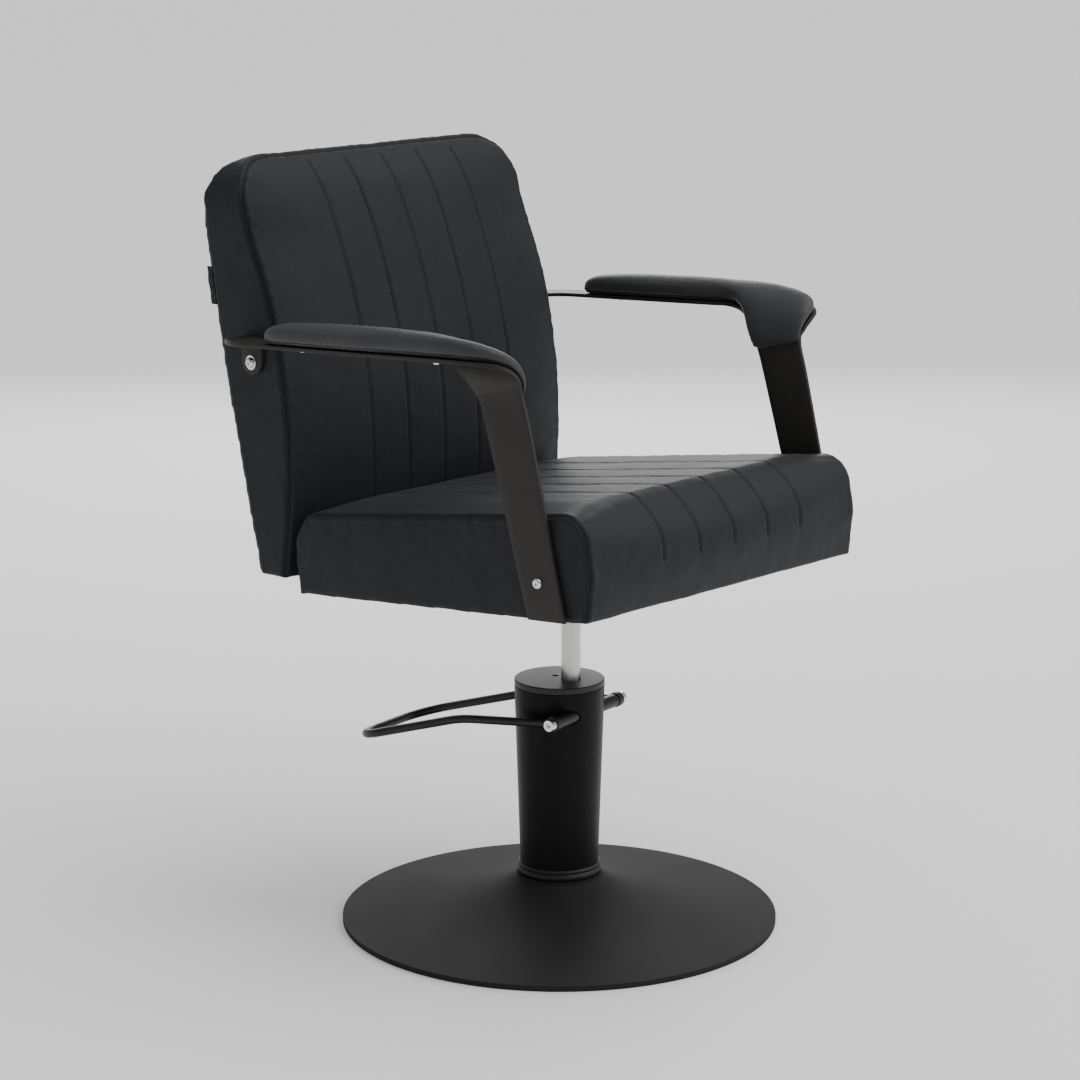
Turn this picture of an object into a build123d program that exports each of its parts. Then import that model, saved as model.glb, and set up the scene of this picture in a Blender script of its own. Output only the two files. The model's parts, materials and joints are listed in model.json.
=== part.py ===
from build123d import *
import math
import os

# Styling chair: a hydraulic pump column on a round trumpet base carries a swivelling armchair.
# Millimetres, +Z up, front is -Y, +X is the sitter's left. The origin is the base's centre on the floor.

# ---- driving dimensions: base and column ----
PUMP_YAW = 8.0            # the pump and its lever stand turned by this much under the chair
BASE_RADIUS = 290.0
RIM_HEIGHT = 7.0
PLATE_RADIUS = 262.0
PLATE_THICKNESS = 6.5
COVER_WALL = 2.5
NECK_RADIUS = 57.0
NECK_TOP = 64.0
COLUMN_BOTTOM = 50.0
COLUMN_TOP = 321.0
COLUMN_FOOT_RADIUS = 51.2
COLUMN_HEAD_RADIUS = 59.8
CAP_BOTTOM = 322.0
CAP_TOP = 330.0
ROD_OFFSET = 18.0         # the ram stands this far ahead of the column's axis
ROD_RADIUS = 12.7
ROD_CLEARANCE = 0.05

# ---- driving dimensions: pump ----
FLANGE_RADIUS = 75.0
FLANGE_TOP = 20.0
BOLT_CIRCLE = 60.0
BOLT_RADIUS = 5.0
TANK_RADIUS = 44.0
TANK_WALL = 4.0
HEAD_BOTTOM = 240.0
HEAD_TOP = 306.0
HEAD_RADIUS = 53.0
CYLINDER_BORE = 16.5
CYLINDER_OUTER = 19.0
PISTON_BOTTOM = 122.0
PISTON_TOP = 147.0
SPIGOT_RADIUS = 8.0

# ---- driving dimensions: pump lever ----
PIVOT_Y = -42.0
PIVOT_Z = 290.0
SHAFT_RADIUS = 6.0
SHAFT_HALF = 66.0
SLEEVE_RADIUS = 9.0
EYE_X = 72.5
EYE_HALF = 4.5
EYE_RADIUS = 10.0
BAR_RADIUS = 5.8
LEVER_KNEE = 150.0
LEVER_TAIL = 187.0
LEVER_SLOPE_1 = 6.0
LEVER_SLOPE_2 = 17.0
LEVER_CORNER = 48.0
ROCKER_X = 19.0
PLUNGER_Y = -30.0
PLUNGER_RADIUS = 5.0

# ---- driving dimensions: seat ----
SEAT_TILT = 5.0           # the seat's underside falls this many degrees to the back
SEAT_HEIGHT = 473.0       # underside of the seat above the floor, on the ram's axis
SEAT_HALF = 260.0
SKIN = 1.5
BOARD = 15.0
BOARD_INSET = 8.0         # foam and cover wrap round the boards' edges by this much
BLOCK_INSET = 4.0
HUB_BOTTOM = 416.0
HUB_RADIUS = 30.0
ROD_TOP = 461.0
COVER_OPENING = (-225.0, 225.0, -215.0, 205.0)    # where the cover leaves the board bare, X then Y
FAR = 500.0               # a cutting block's reach, past every side of the chair

# ---- driving dimensions: backrest ----
BACK_HALF = 261.0
BACK_FOOT = 467.0
BACK_TOP = 1010.0
BACK_CORNER = 65.0
PANEL = 3.0
BACK_BOARD = 12.0

# ---- driving dimensions: arms ----
STRAP = 5.0
LEG_X = 267.0
RAIL_INNER = 284.0
RAIL_OUTER = 322.0
RAIL_SLOPE = 0.055
RAIL_Z = 795.5            # underside of the rail above the ram's axis
RAIL_START = 2.0          # ahead of this the flat rail gives way to the bent corner
TAB_X = 263.6

os.makedirs("parts", exist_ok=True)
yaw = math.radians(PUMP_YAW)
ROD_X = ROD_OFFSET * math.sin(yaw)
ROD_Y = -ROD_OFFSET * math.cos(yaw)


def save(name, shapes, place):
    solids = [place * solid for shape in shapes for solid in shape.solids()]
    group = solids[0] if len(solids) == 1 else Compound(solids)
    export_step(group, f"parts/{name}.step")


def save_base(name, *shapes):
    save(name, shapes, Rot(0, 0, PUMP_YAW))


def save_seat(name, *shapes):
    save(name, shapes, Pos(ROD_X, ROD_Y, 0))


def disc(radius, low, high, x=0.0, y=0.0):
    return Pos(x, y, (low + high) / 2) * Cylinder(radius, high - low)


def tube(outer, inner, low, high, x=0.0, y=0.0):
    return disc(outer, low, high, x, y) - disc(inner, low - 1, high + 1, x, y)


def cross_rod(radius, x0, x1, y, z):
    return Pos((x0 + x1) / 2, y, z) * Rot(0, 90, 0) * Cylinder(radius, abs(x1 - x0))


def block(x0, x1, y0, y1, z0, z1):
    return Pos((x0 + x1) / 2, (y0 + y1) / 2, (z0 + z1) / 2) * Box(x1 - x0, y1 - y0, z1 - z0)


def turned(*edges):
    """A solid of revolution about Z from edges drawn in the XZ plane as (radius, height)."""
    return revolve(Plane.XZ * make_face(list(edges)), Axis.Z)


def column_radius(z):
    share = (z - COLUMN_BOTTOM) / (COLUMN_TOP - COLUMN_BOTTOM)
    return COLUMN_FOOT_RADIUS + share * (COLUMN_HEAD_RADIUS - COLUMN_FOOT_RADIUS)


def around(count, radius, start=45.0):
    for i in range(count):
        angle = math.radians(start + 360.0 * i / count)
        yield radius * math.cos(angle), radius * math.sin(angle)


# ---- base ----
def base_plate():
    plate = disc(PLATE_RADIUS, 0, PLATE_THICKNESS)
    plate = chamfer(plate.edges().group_by(Axis.Z)[-1], 1.0)
    for x, y in around(4, BOLT_CIRCLE):
        plate -= disc(BOLT_RADIUS, -1, PLATE_THICKNESS + 1, x, y)
    return plate


def base_cover():
    inner_rim = BASE_RADIUS - COVER_WALL
    inner_neck = NECK_RADIUS - COVER_WALL
    edges = [
        Line((inner_rim, 0), (BASE_RADIUS, 0)),
        Line((BASE_RADIUS, 0), (BASE_RADIUS, RIM_HEIGHT)),
        Bezier((BASE_RADIUS, RIM_HEIGHT), (205, 18), (100, 29), (NECK_RADIUS, 60)),
        Line((NECK_RADIUS, 60), (NECK_RADIUS, NECK_TOP)),
        Line((NECK_RADIUS, NECK_TOP), (inner_neck, NECK_TOP)),
        Line((inner_neck, NECK_TOP), (inner_neck, 58.5)),
        Bezier((inner_neck, 58.5), (98, 26.4), (204, 15.4), (inner_rim, 4.7)),
        Line((inner_rim, 4.7), (inner_rim, 0)),
    ]
    return turned(*edges)


def column_ring():
    low, mid, high = NECK_TOP, 74.0, 79.0
    inner = column_radius(high) + 0.1
    fat, thin = 56.4, 54.4
    edges = [
        Line((inner, low), (fat - 3, low)),
        ThreePointArc((fat - 3, low), (fat, (low + mid) / 2), (fat - 3, mid)),
        Line((fat - 3, mid), (thin, mid)),
        ThreePointArc((thin, mid), (thin + 0.6, (mid + high) / 2), (thin - 1, high)),
        Line((thin - 1, high), (inner, high)),
        Line((inner, high), (inner, low)),
    ]
    return turned(*edges)


def column_cover():
    foot, head = COLUMN_FOOT_RADIUS, COLUMN_HEAD_RADIUS
    outline = Polyline(
        (foot - COVER_WALL, COLUMN_BOTTOM),
        (foot, COLUMN_BOTTOM),
        (head, COLUMN_TOP),
        (head - COVER_WALL, COLUMN_TOP),
        close=True,
    )
    shell = turned(outline)
    return shell - cross_rod(SLEEVE_RADIUS + 1.5, -80, 80, PIVOT_Y, PIVOT_Z)


CAP_SCREW = (4.0, 9.0)
CAP_SCREW_RADIUS = 3.0
CAP_SCREW_SINK = 4.2
CAP_SCREW_REACH = 12.0    # how far the cap's screw runs down into the pump head
CAP_SINK_DEPTH = 4.0
ROD_GAP = 0.9             # open ring round the ram where it passes the cap
SPIGOT_DEPTH = 9.0
GLAND = (15.5, 300.0, 312.0)       # outer radius, bottom and top of the ram's guide bush
SEAL = (15.0, 312.0, 315.0)


def column_cap():
    cap = disc(COLUMN_HEAD_RADIUS, CAP_BOTTOM, CAP_TOP)
    cap = fillet(cap.edges().group_by(Axis.Z)[-1], 1.6)
    spigot_foot = CAP_BOTTOM - SPIGOT_DEPTH
    spigot = column_radius(spigot_foot) - COVER_WALL - 0.3
    cap += disc(spigot, spigot_foot, CAP_BOTTOM)
    cap -= disc(GLAND[0] + 0.5, 0, SEAL[2] + 0.5, 0, -ROD_OFFSET)
    cap -= disc(ROD_RADIUS + ROD_GAP, 0, FAR, 0, -ROD_OFFSET)
    cap -= disc(CAP_SCREW_RADIUS, 0, FAR, *CAP_SCREW)
    return cap - disc(CAP_SCREW_SINK, CAP_TOP - CAP_SINK_DEPTH, FAR, *CAP_SCREW)


def cap_screw():
    seat, top = CAP_TOP - CAP_SINK_DEPTH, CAP_TOP - 1.5
    screw = disc(CAP_SCREW_RADIUS, HEAD_TOP - CAP_SCREW_REACH, seat, *CAP_SCREW)
    screw += disc(CAP_SCREW_SINK - 0.1, seat, top, *CAP_SCREW)
    return screw - Pos(*CAP_SCREW, top - 0.8) * extrude(RegularPolygon(2.0, 6), 2)


def pump_flange():
    flange = disc(FLANGE_RADIUS, PLATE_THICKNESS, FLANGE_TOP)
    flange = fillet(flange.edges().group_by(Axis.Z)[-1], 2.0)
    for x, y in around(4, BOLT_CIRCLE):
        flange -= disc(BOLT_RADIUS, 0, FLANGE_TOP + 1, x, y)
    return flange


def pump_bolts():
    for x, y in around(4, BOLT_CIRCLE):
        head = Pos(x, y, FLANGE_TOP) * extrude(RegularPolygon(9.0, 6), 6.5)
        yield head + disc(BOLT_RADIUS, 0.5, FLANGE_TOP, x, y)


def pump_tank():
    return tube(TANK_RADIUS, TANK_RADIUS - TANK_WALL, FLANGE_TOP, HEAD_BOTTOM)


def pump_cylinder():
    return tube(CYLINDER_OUTER, CYLINDER_BORE, FLANGE_TOP, HEAD_BOTTOM, 0, -ROD_OFFSET)


BUSH_OUTER = 8.0
BUSHES = ((-26.0, -10.0), (2.0, 12.0))
SLEEVE_WELL = 26.0        # the head is cut back for the sleeves from here out
SLEEVE_START = 26.2
POCKET = (12.5, 25.5, -54.0, -21.0)   # where the rocker swings, in X and Y
POCKET_FLOOR = 268.0
BARREL_RADIUS = 7.5
BARREL_BOTTOM = 244.0


def pump_head():
    head = disc(HEAD_RADIUS, HEAD_BOTTOM, HEAD_TOP)
    head = fillet(head.edges().group_by(Axis.Z)[-1], 2.0)
    head -= disc(ROD_RADIUS + 0.5, 0, FAR, 0, -ROD_OFFSET)
    head -= disc(GLAND[0], GLAND[1], FAR, 0, -ROD_OFFSET)
    head -= cross_rod(BUSH_OUTER, -80, 80, PIVOT_Y, PIVOT_Z)
    for side in (-1, 1):
        head -= cross_rod(SLEEVE_RADIUS + 0.6, side * SLEEVE_WELL, side * 80, PIVOT_Y, PIVOT_Z)
    head -= block(*POCKET, POCKET_FLOOR, FAR)
    head -= disc(BARREL_RADIUS, BARREL_BOTTOM, FAR, ROCKER_X, PLUNGER_Y)
    return head - disc(CAP_SCREW_RADIUS, HEAD_TOP - CAP_SCREW_REACH, FAR, *CAP_SCREW)


def rod_bush():
    return tube(GLAND[0], ROD_RADIUS + ROD_CLEARANCE, GLAND[1], GLAND[2], 0, -ROD_OFFSET)


def rod_seal():
    return tube(SEAL[0], ROD_RADIUS + 0.08, SEAL[1], SEAL[2], 0, -ROD_OFFSET)


def shaft_bushes():
    for x0, x1 in BUSHES:
        outer = cross_rod(BUSH_OUTER, x0, x1, PIVOT_Y, PIVOT_Z)
        yield outer - cross_rod(SHAFT_RADIUS + 0.05, x0 - 1, x1 + 1, PIVOT_Y, PIVOT_Z)


def plunger_barrel():
    return tube(
        BARREL_RADIUS, PLUNGER_RADIUS + 0.05, BARREL_BOTTOM, POCKET_FLOOR, ROCKER_X, PLUNGER_Y
    )


PLUNGER_HEAD = (275.0, 278.9)


def pump_plunger():
    stem = disc(PLUNGER_RADIUS, 250.0, PLUNGER_HEAD[0], ROCKER_X, PLUNGER_Y)
    return stem + disc(7.0, *PLUNGER_HEAD, ROCKER_X, PLUNGER_Y)


def plunger_spring():
    """Return spring between the barrel's top and the underside of the plunger's head."""
    wire, coil, turns, gap = 0.5, 6.2, 3.5, 0.05
    height = PLUNGER_HEAD[0] - POCKET_FLOOR - 2 * (wire + gap)
    path = Helix(height / turns, height, coil)
    spring = sweep(Plane(origin=path @ 0, z_dir=path % 0) * Circle(wire), path, is_frenet=True)
    return Pos(ROCKER_X, PLUNGER_Y, POCKET_FLOOR + wire + gap) * spring


# ---- lift: what slides in the cylinder without turning ----
SEAL_GROOVES = (PISTON_BOTTOM + 5, PISTON_BOTTOM + 15)
SEAL_INNER = CYLINDER_BORE - 2.5
SEAL_WIDTH = 4.0


def piston_head():
    piston = disc(CYLINDER_BORE - 0.06, PISTON_BOTTOM, PISTON_TOP, 0, -ROD_OFFSET)
    piston -= disc(SPIGOT_RADIUS + ROD_CLEARANCE, PISTON_BOTTOM + 6, 400, 0, -ROD_OFFSET)
    for low in SEAL_GROOVES:
        piston -= tube(CYLINDER_BORE + 1, SEAL_INNER, low, low + SEAL_WIDTH, 0, -ROD_OFFSET)
    return piston


def piston_seals():
    for low in SEAL_GROOVES:
        yield tube(CYLINDER_BORE - 0.04, SEAL_INNER, low, low + SEAL_WIDTH, 0, -ROD_OFFSET)


THRUST_TOP = PISTON_TOP + 2.0


def thrust_washer():
    return tube(12.4, SPIGOT_RADIUS + ROD_CLEARANCE, PISTON_TOP, THRUST_TOP, 0, -ROD_OFFSET)


# ---- pump lever ----
def cross_shaft():
    shaft = cross_rod(SHAFT_RADIUS, -SHAFT_HALF, SHAFT_HALF, PIVOT_Y, PIVOT_Z)
    for side in (-1, 1):
        shaft -= cross_rod(4.0, side * 46, side * 80, PIVOT_Y, PIVOT_Z)
    return shaft


def shaft_sleeves():
    for side in (-1, 1):
        sleeve = cross_rod(SLEEVE_RADIUS, side * SLEEVE_START, side * SHAFT_HALF, PIVOT_Y, PIVOT_Z)
        yield sleeve - cross_rod(SHAFT_RADIUS, side * 20, side * 80, PIVOT_Y, PIVOT_Z)


def rocker_cam():
    x0, x1 = ROCKER_X - 5, ROCKER_X + 5
    nose_z = PIVOT_Z - 6.0
    cam = cross_rod(8.5, x0, x1, PIVOT_Y, PIVOT_Z)
    cam += cross_rod(5.0, x0, x1, PLUNGER_Y, nose_z)
    web = Polyline(
        (PIVOT_Y, PIVOT_Z + 5), (PIVOT_Y, PIVOT_Z - 8.4),
        (PLUNGER_Y, nose_z - 4.9), (PLUNGER_Y, nose_z + 4.9), close=True,
    )
    cam += Pos(x0, 0, 0) * extrude(make_face(Plane.YZ * web), x1 - x0, dir=(1, 0, 0))
    return cam - cross_rod(SHAFT_RADIUS, x0 - 1, x1 + 1, PIVOT_Y, PIVOT_Z)


def lever_loop():
    """One round bar bent to a hairpin, with a flattened eye at each end."""
    slope_1, slope_2 = math.radians(LEVER_SLOPE_1), math.radians(LEVER_SLOPE_2)
    knee_y = PIVOT_Y + LEVER_KNEE * math.cos(slope_1)
    knee_z = PIVOT_Z - LEVER_KNEE * math.sin(slope_1)
    end_y = knee_y + LEVER_TAIL * math.cos(slope_2)
    end_z = knee_z - LEVER_TAIL * math.sin(slope_2)
    start_y = PIVOT_Y + 6 * math.cos(slope_1)
    start_z = PIVOT_Z - 6 * math.sin(slope_1)
    half = [(EYE_X, start_y, start_z), (EYE_X + 4, knee_y, knee_z), (EYE_X + 8, end_y, end_z)]
    route = half + [(-x, y, z) for x, y, z in reversed(half)]
    path = FilletPolyline(*route, radius=[200.0, LEVER_CORNER, LEVER_CORNER, 200.0])
    start = Plane(origin=path @ 0, z_dir=path % 0)
    bar = sweep(start * Circle(BAR_RADIUS), path=path)
    for side in (-1, 1):
        x0, x1 = side * (EYE_X - EYE_HALF), side * (EYE_X + EYE_HALF)
        bar -= cross_rod(EYE_RADIUS - 1, x0, side * (EYE_X - 9), PIVOT_Y, PIVOT_Z)
        bar -= cross_rod(EYE_RADIUS - 1, x1, side * (EYE_X + 9), PIVOT_Y, PIVOT_Z)
        bar += cross_rod(EYE_RADIUS, x0, x1, PIVOT_Y, PIVOT_Z)
    return bar - cross_rod(4.0, -90, 90, PIVOT_Y, PIVOT_Z)


def lever_washers():
    for side in (-1, 1):
        x0, x1 = side * SHAFT_HALF, side * (EYE_X - EYE_HALF)
        washer = cross_rod(8.6, x0, x1, PIVOT_Y, PIVOT_Z)
        yield washer - cross_rod(4.0, side * 60, side * 80, PIVOT_Y, PIVOT_Z)


def lever_screws():
    under = EYE_X + EYE_HALF
    top = under + 10
    screw = cross_rod(8.0, under, top, PIVOT_Y, PIVOT_Z)
    screw = chamfer(screw.edges().group_by(Axis.X)[-1], 0.8)
    screw += cross_rod(4.0, 48, under, PIVOT_Y, PIVOT_Z)
    socket = Pos(top - 5, PIVOT_Y, PIVOT_Z) * Rot(0, 90, 0)
    screw -= socket * extrude(RegularPolygon(3.6, 6), 6)
    return both_sides([screw])


# ---- seat: everything from here is drawn about the ram's axis ----
def piston_rod():
    rod = disc(ROD_RADIUS, THRUST_TOP + 0.05, ROD_TOP)
    rod = chamfer(rod.edges().group_by(Axis.Z)[0], 1.0)
    return rod + disc(SPIGOT_RADIUS, PISTON_BOTTOM + 7, THRUST_TOP + 2)


tilt = Pos(0, 0, SEAT_HEIGHT) * Rot(-SEAT_TILT, 0, 0)


def slab(half_x, y0, y1, n0, n1):
    return tilt * block(-half_x, half_x, y0, y1, n0, n1)


MOUNT_PLATE = (-4.5, SKIN)
MOUNT_HALF = (100.0, 115.0)
PLATE_BOLTS = [(x, y) for x in (-75, 75) for y in (-85, 85)]
PLATE_BOLT_RADIUS = 4.0
PLATE_BOLT_TOP = 14.0
TEE_NUT = (5.5, 9.5, 1.5)          # barrel radius, flange radius, flange thickness


def seat_hub():
    hub = disc(HUB_RADIUS, HUB_BOTTOM, SEAT_HEIGHT + 7)
    hub = chamfer(hub.edges().group_by(Axis.Z)[0], 4.0)
    hub -= tilt * block(-60, 60, -60, 60, MOUNT_PLATE[0], 60)
    return hub - disc(ROD_RADIUS, 0, ROD_TOP)


def mount_plate():
    half_x, half_y = MOUNT_HALF
    plate = block(-half_x, half_x, -half_y, half_y, *MOUNT_PLATE)
    plate = fillet(plate.edges().filter_by(Axis.Z), 12)
    for x, y in PLATE_BOLTS:
        plate -= disc(PLATE_BOLT_RADIUS, -50, 50, x, y)
    return tilt * plate


def plate_bolts():
    for x, y in PLATE_BOLTS:
        head = Pos(x, y, MOUNT_PLATE[0] - 5.3) * extrude(RegularPolygon(7.2, 6), 5.3)
        yield tilt * (head + disc(PLATE_BOLT_RADIUS, MOUNT_PLATE[0], PLATE_BOLT_TOP, x, y))


def tee_nuts():
    barrel, flange, thickness = TEE_NUT
    top = SKIN + BOARD
    for x, y in PLATE_BOLTS:
        nut = tube(barrel, PLATE_BOLT_RADIUS, 6, top - thickness, x, y)
        yield tilt * (nut + tube(flange, PLATE_BOLT_RADIUS, top - thickness, top, x, y))


def side_face(points, radii):
    """A closed outline in the YZ plane with its corners rounded."""
    face = make_face(Polyline(*points, close=True))
    for (y, z), radius in zip(points, radii):
        if radius:
            corner = face.vertices().sort_by_distance((y, z, 0))[0]
            face = fillet(corner, radius)
    return face


def across(face, half_x):
    """Extrudes an outline drawn as (Y, Z) to both sides of the middle."""
    return extrude(Plane.YZ * face, half_x, both=True)


SEAT_SIDE = [(-260, 0), (-273, 60), (-267, 137), (222, 109), (246, 72), (244, 0)]
SEAT_ROUND = [10, 60, 40, 24, 24, 8]


def seat_block(inset):
    face = side_face(SEAT_SIDE, SEAT_ROUND)
    if inset:
        face = offset(face, -inset)
    return across(face, SEAT_HALF - inset)


def seat_parts():
    full = seat_block(0)
    core = seat_block(SKIN)
    front, rear = SEAT_SIDE[0][0] + BOARD_INSET, SEAT_SIDE[-1][0] - BOARD_INSET
    half = SEAT_HALF - BOARD_INSET
    board = block(-half, half, front, rear, SKIN, SKIN + BOARD)
    board = fillet(board.edges().filter_by(Axis.Z), BOARD_INSET)
    foam = core - board
    cover = full - core - block(*COVER_OPENING, -FAR, SKIN + 0.5)
    barrel, flange, thickness = TEE_NUT
    for x, y in PLATE_BOLTS:
        board -= disc(barrel, 0, SKIN + BOARD - thickness, x, y)
        board -= disc(flange, SKIN + BOARD - thickness, 40, x, y)
    blocks = list(seat_blocks())
    parts = {"seat_board": tilt * board, "seat_foam": tilt * foam, "seat_cover": tilt * cover}
    for piece in blocks:
        parts["seat_foam"] -= piece
    for screw in leg_screws():
        parts["seat_cover"] -= screw
        parts["seat_foam"] -= screw
    for screw in bracket_screws():
        parts["seat_board"] -= screw
        parts["seat_cover"] -= screw
    return parts


LEG_SCREW = (-190.0, 538.0)


def seat_blocks():
    """Hardwood blocks on the board that the arm screws bite into."""
    for side in (-1, 1):
        x0, x1 = sorted((side * 222, side * (SEAT_HALF - BLOCK_INSET)))
        piece = tilt * block(x0, x1, -225, -150, SKIN + BOARD, SKIN + BOARD + 55)
        for screw in leg_screws():
            piece -= screw
        yield piece


def dust_cover():
    sheet = slab(240, -235, 222, -0.8, 0) - slab(104, -119, 119, -5, 5)
    for screw in bracket_screws():
        sheet -= screw
    return sheet


# ---- backrest ----
BACK_REAR = [(319.0, BACK_FOOT), (401.0, 851.0), (414.0, 945.0)]


def rear_y(z):
    (y0, z0), (y1, z1), (y2, z2) = BACK_REAR
    if z < z1:
        return y0 + (z - z0) * (y1 - y0) / (z1 - z0)
    return y1 + (z - z1) * (y2 - y1) / (z2 - z1)


def rear_strip(near, far, z0, z1, half_x):
    """A slab that follows the back's rear line, between two depths ahead of it."""
    mid = BACK_REAR[1][1]
    levels = [z0] + ([mid] if z0 < mid < z1 else []) + [z1]
    outline = [(rear_y(z) - near, z) for z in levels]
    outline += [(rear_y(z) - far, z) for z in reversed(levels)]
    return across(make_face(Polyline(*outline, close=True)), half_x)


BACK_FRONT = [(255, 560), (250, 650), (264, 745), (287, 830), (317, 912), (336, 962)]


def back_block(inset):
    low = BACK_FOOT + inset
    foot, heel = (268.0 + inset, low), (rear_y(low) - inset, low)
    front = Spline(foot, *[(y + inset, z) for y, z in BACK_FRONT])
    crown = ThreePointArc((336 + inset, 962), (371, BACK_TOP - inset), (404 - inset, 990))
    upper = [(y - inset, z) for y, z in reversed(BACK_REAR[1:])]
    rear = Polyline((404 - inset, 990), *upper, heel)
    solid = across(make_face([front, crown, rear, Line(heel, foot)]), BACK_HALF - inset)
    corner = BACK_CORNER - inset
    outline = Pos(0, (BACK_FOOT + BACK_TOP) / 2) * RectangleRounded(
        2 * (BACK_HALF - inset), BACK_TOP - BACK_FOOT - 2 * inset, corner
    )
    outline += Pos(0, BACK_FOOT + 80) * Rectangle(2 * (BACK_HALF - inset), 160 - 2 * inset)
    return solid & extrude(Plane.XZ * outline, -600)


def back_parts():
    full = back_block(0)
    core = back_block(SKIN)
    skin_cut = rear_strip(-30, PANEL, BACK_FOOT - 40, BACK_TOP + 40, FAR)
    board_cut = rear_strip(-30, PANEL + BACK_BOARD, BACK_FOOT - 40, BACK_TOP + 40, FAR)
    board = (back_block(BOARD_INSET) & board_cut) - skin_cut
    parts = {
        "back_panel": full & skin_cut,
        "back_board": board,
        "back_foam": core - skin_cut - board,
        "back_cover": (full - core) - skin_cut,
    }
    brackets = list(back_brackets())
    for tool in brackets:
        parts["back_foam"] -= tool
        parts["back_cover"] -= tool
    for tool in bracket_screws():
        parts["back_foam"] -= tool
        parts["back_board"] -= tool
    for tool in back_side_blocks():
        parts["back_foam"] -= tool
    for tool in back_bolts():
        parts["back_foam"] -= tool
        parts["back_cover"] -= tool
    return parts


TAB_BOLT = (318.0, 749.0)


def back_side_blocks():
    """Hardwood blocks beside the back board that the arm bolts bite into."""
    for side in (-1, 1):
        x0, x1 = sorted((side * 215, side * (BACK_HALF - BLOCK_INSET)))
        piece = block(x0, x1, 300, 420, 724, 774)
        piece -= rear_strip(-60, PANEL + BACK_BOARD, 700, 800, 400)
        for bolt in back_bolts():
            piece -= bolt
        yield piece


BRACKET_X = 120.0
BRACKET_HALF = 20.0
BRACKET_REACH = 296.0


def back_brackets():
    """Two L straps: under the seat board, then up the front of the back board."""
    for side in (-1, 1):
        depth = PANEL + BACK_BOARD
        upright = rear_strip(depth, depth + STRAP, 446, 610, BRACKET_HALF)
        foot = tilt * block(-BRACKET_HALF, BRACKET_HALF, 95, BRACKET_REACH, -0.8 - STRAP, -0.8)
        bracket = Pos(side * BRACKET_X, 0, 0) * (upright + foot)
        for screw in bracket_screws():
            bracket -= screw
        yield bracket


def bracket_screws():
    for side in (-1, 1):
        for y in (115, 175):
            x = side * BRACKET_X
            head = disc(5.5, -9.3, -0.8 - STRAP, x, y)
            yield tilt * (head + disc(2.5, -0.8 - STRAP, 13, x, y))
        for z in (520, 580):
            lean = math.degrees(math.atan2(82.0, 384.0))
            front = rear_y(z) - PANEL - BACK_BOARD - STRAP
            place = Pos(side * BRACKET_X, front, z) * Rot(lean - 90, 0, 0)
            yield place * (disc(5.5, -3.0, -0.2) + disc(2.5, -0.2, STRAP + 9))


def back_label():
    """A folded woven tag, blank, sewn into the rear seam on the sitter's right."""
    low, high = 816.0, 866.0
    outline = [(rear_y(low) - 1, low), (rear_y(low) + 7, low)]
    outline += [(rear_y(high) + 7, high), (rear_y(high) - 1, high)]
    face = make_face(Polyline(*outline, close=True))
    tag = Pos(-BACK_HALF + 3.2, 0, 0) * across(face, 0.9)
    return tag - back_block(0)


# ---- arms ----
RAIL_ANGLE = math.atan(RAIL_SLOPE)


def rail_mid(y):
    return RAIL_Z + STRAP / 2 / math.cos(RAIL_ANGLE) - RAIL_SLOPE * y


# Inner and outer edge of the bent strap's middle surface, from the rail round to the leg's foot.
RUNGS = [
    ((RAIL_INNER, RAIL_START, rail_mid(RAIL_START)), (RAIL_OUTER, RAIL_START, rail_mid(RAIL_START))),
    ((RAIL_INNER, -22, rail_mid(-22)), (RAIL_OUTER, -76, rail_mid(-76))),
    ((282.8, -42, 796.6), (320.4, -122, 804.1)),
    ((279.8, -57, 790.2), (313.5, -149, 804.2)),
    ((275.8, -68, 781.5), (302.0, -162, 800.9)),
    ((271.6, -77, 771.3), (287.0, -166, 793.2)),
    ((268.4, -85, 760.2), (274.5, -165, 781.8)),
    ((LEG_X, -93.5, 747.6), (268.0, -163, 764.6)),
    ((LEG_X, -110, 698.0), (LEG_X, -178.5, 710.0)),
    ((LEG_X, -173, 490.0), (LEG_X, -233, 494.5)),
]


def sheet_sections(rungs, low, high, trim=0.0):
    """A quadrilateral on each rung, from one height above the middle surface to another."""
    middles = [(Vector(*a) + Vector(*b)) * 0.5 for a, b in rungs]
    for i, (a, b) in enumerate(rungs):
        inner, outer = Vector(*a), Vector(*b)
        along = middles[min(i + 1, len(rungs) - 1)] - middles[max(i - 1, 0)]
        width = (outer - inner).normalized()
        normal = width.cross(along).normalized() * -1
        floor = low[i] if isinstance(low, list) else low
        roof = high[i] if isinstance(high, list) else high
        yield make_face(Polyline(
            inner + normal * floor,
            outer + normal * floor,
            outer - width * trim + normal * roof,
            inner + width * trim + normal * roof,
            close=True,
        ))


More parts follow.
